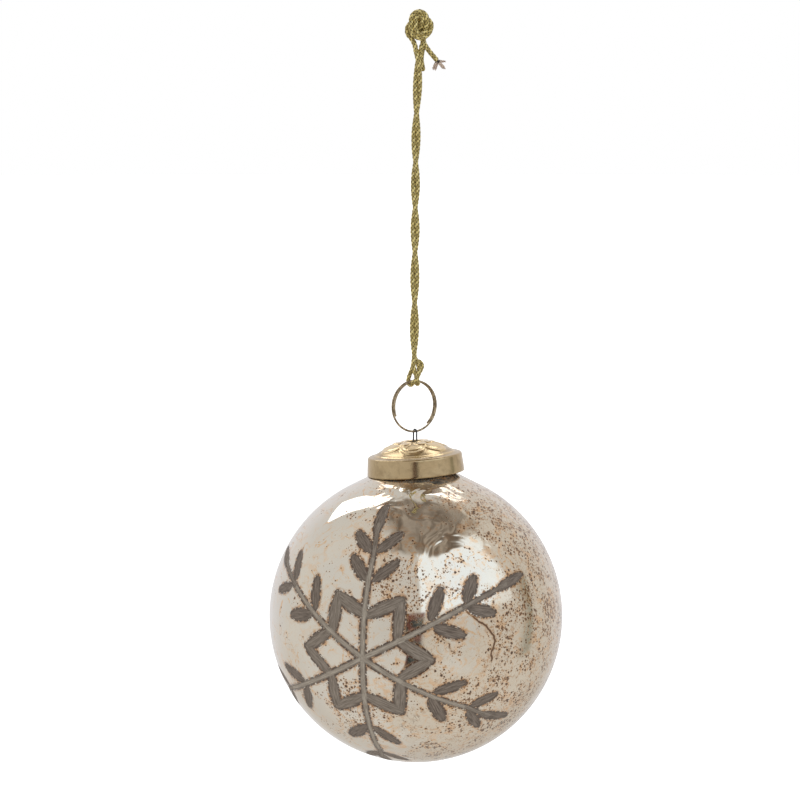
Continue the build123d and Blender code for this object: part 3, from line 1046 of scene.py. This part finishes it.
def thread_brown():
    """Pale brown threads, some darker, and nearly black where they leave the cord."""
    s = Shader("thread_brown")
    base = s.mix(s.value("shade"), (0.50, 0.37, 0.29), (0.88, 0.73, 0.60))
    base = s.mix(s.step(0.55, 0.7, s.noise(1.5, 2.0)), base, (0.25, 0.16, 0.11))
    base = s.mix(s.step(1.1, 0.6, s.value("from_root")), base, (0.03, 0.022, 0.014))
    s.set(Base_Color=base, Roughness=0.6, Sheen_Weight=0.3)
    return s.material


def ring_brass():
    """Antique brass, brighter and smoother where it is worn."""
    s = Shader("ring_brass")
    worn = s.step(0.4, 0.66, s.noise(0.9, 5.0, distortion=0.4))
    base = s.mix(worn, (0.25, 0.19, 0.12), (0.56, 0.45, 0.30))
    rough = s.blend(worn, 0.50, 0.36)
    s.set(Base_Color=base, Metallic=0.9, Roughness=rough, Normal=s.bump(s.noise(5.0, 2.0), 0.02))
    return s.material


def spring_steel():
    """Dark drawn wire with a faint mottle."""
    s = Shader("spring_steel")
    base = s.mix(s.step(0.4, 0.7, s.noise(1.4, 4.0)), (0.022, 0.027, 0.033), (0.075, 0.08, 0.085))
    s.set(Base_Color=base, Metallic=0.9, Roughness=s.blend(s.noise(2.0, 3.0), 0.32, 0.5))
    return s.material


def paint(piece, material):
    piece.data.materials.clear()
    piece.data.materials.append(material)


def paint_node(name, material):
    """Give a CAD node a new finish on the object, so that its own mesh stays as it is."""
    node = frame["nodes"][name]
    for holder in node.material_slots:
        holder.link = "OBJECT"
        holder.material = material


gold_cord = cord_gold()
for piece in (cord_pair, hitch, knot):
    paint(piece, gold_cord)
paint(frayed_end, thread_brown())
paint(ball, mercury_glass())
paint(cap, cap_metal())
paint_node("split_ring", ring_brass())
paint_node("spring_hanger", spring_steel())

# ---- floor, light and surroundings -----------------------

FLOOR_DROP = 150.0               # below the ball's lowest point
FLOOR_RADIUS = 6.0               # metres
LIGHT_RADIANCE = 1.8


def make_floor():
    """A floor bright enough to run into the white behind it."""
    bpy.ops.mesh.primitive_circle_add(vertices=96, radius=FLOOR_RADIUS, fill_type="NGON")
    floor = bpy.context.object
    floor.name = "floor"
    floor.location.z = (BALL_LOW.z - FLOOR_DROP) * MM
    s = Shader("floor_white")
    s.set(
        Base_Color=(0.9, 0.9, 0.9, 1.0),
        Roughness=0.95,
        Emission_Color=(1.0, 1.0, 1.0, 1.0),
        Emission_Strength=0.75,
    )
    paint(floor, s.material)
    floor.visible_glossy = False
    floor.visible_diffuse = False


def area_light(name, place, size):
    """A soft box aimed at the ball; place is (azimuth, elevation, distance), size in metres."""
    light = bpy.data.lights.new(name, "AREA")
    light.shape = "RECTANGLE"
    light.size, light.size_y = size
    light.energy = LIGHT_RADIANCE * math.pi * size[0] * size[1]
    holder = add_object(name, light)
    back = direction(place[0], place[1])
    holder.location = BALL * MM + back * place[2]
    holder.rotation_euler = back.to_track_quat("Z", "Y").to_euler()
    holder.visible_camera = False


class Surroundings(Shader):
    """The room as the ornament sees it: each call paints over part of the sky."""

    def __init__(self, world, shade):
        self.tree = world.node_tree
        self.place = self.add("ShaderNodeTexCoord", {}).outputs["Generated"]
        self.x, self.y, self.z = self.add("ShaderNodeSeparateXYZ", {0: self.place}).outputs
        self.shade = shade

    def over(self, share, shade):
        """Paint a colour over the room where share is 1."""
        self.shade = self.mix(share, self.shade, shade)

    def all_of(self, *shares):
        """1 where every share is 1."""
        product = shares[0]
        for share in shares[1:]:
            product = self.times(product, share)
        return product


def make_world():
    """White where the camera looks straight at it, a pale studio for light and gloss."""
    world = bpy.data.worlds.new("studio")
    world.use_nodes = True
    nodes = world.node_tree.nodes
    room = Surroundings(world, (0.66, 0.64, 0.61))
    x, y, z = room.x, room.y, room.z
    # Pale walls, a little different on the left, below and behind.
    room.over(room.step(-0.2, -0.9, x), (0.72, 0.71, 0.69))
    room.over(room.step(-0.1, -0.7, z), (0.74, 0.725, 0.70))
    room.over(room.step(0.45, 0.95, y), (0.78, 0.765, 0.775))
    room.over(room.all_of(room.step(0.2, 0.7, y), room.step(-0.1, -0.5, z)), (0.64, 0.61, 0.57))
    # The dark ceiling above the front, with paler beams.
    beams = room.noise(2.2, 3.0, place=room.stretch(room.place, 3.0, 1.0, 1.0))
    ceiling = room.mix(room.step(0.35, 0.7, beams), (0.16, 0.125, 0.095), (0.42, 0.36, 0.30))
    over_front = room.all_of(
        room.step(0.76, 0.86, z), room.step(-0.44, -0.28, x), room.step(0.62, 0.54, x),
        room.step(0.44, 0.28, y),
    )
    room.over(over_front, ceiling)
    # A large window in front on the right, between two upright edges.
    left_edge = room.plus(room.times(x, 0.998), room.times(y, 0.06))
    right_edge = room.plus(room.times(x, 0.087), room.times(y, 0.996))
    window = room.all_of(
        room.step(-0.02, 0.02, left_edge), room.step(0.04, -0.04, right_edge),
        room.step(0.10, 0.22, z), room.step(0.83, 0.79, z),
    )
    room.over(window, (1.02, 1.10, 1.17))
    # A tall grey-green doorway straight to the right.
    door = room.all_of(
        room.step(0.90, 0.93, x), room.step(-0.03, 0.0, y), room.step(0.27, 0.25, y),
        room.step(-0.55, -0.42, z), room.step(0.40, 0.33, z),
    )
    room.over(room.times(door, room.step(-0.05, 0.22, y)), (0.26, 0.27, 0.22))
    # The camera on its stand.
    stand = room.all_of(
        room.step(-0.15, -0.12, x), room.step(0.12, 0.09, x), room.step(0.0, -0.3, y),
        room.step(-0.64, -0.55, z), room.step(0.20, 0.17, z),
    )
    mottle = room.step(0.45, 0.6, room.noise(5.0, 2.0))
    room.over(stand, room.mix(mottle, (0.015, 0.03, 0.03), (0.17, 0.055, 0.035)))
    room.feed(nodes["Background"], {"Color": room.shade})
    white = room.add("ShaderNodeBackground", {"Color": (1, 1, 1, 1)}).outputs[0]
    direct = room.add("ShaderNodeLightPath", {}).outputs["Is Camera Ray"]
    studio = nodes["Background"].outputs[0]
    chosen = room.add("ShaderNodeMixShader", {0: direct, 1: studio, 2: white})
    room.feed(nodes["World Output"], {"Surface": chosen.outputs[0]})
    bpy.context.scene.world = world


make_floor()
make_world()
area_light("back_left", (-142, 49, 1.1), (0.26, 0.60))
area_light("back_right", (162, 55, 1.1), (0.40, 0.22))
bpy.context.scene.view_settings.view_transform = "Standard"
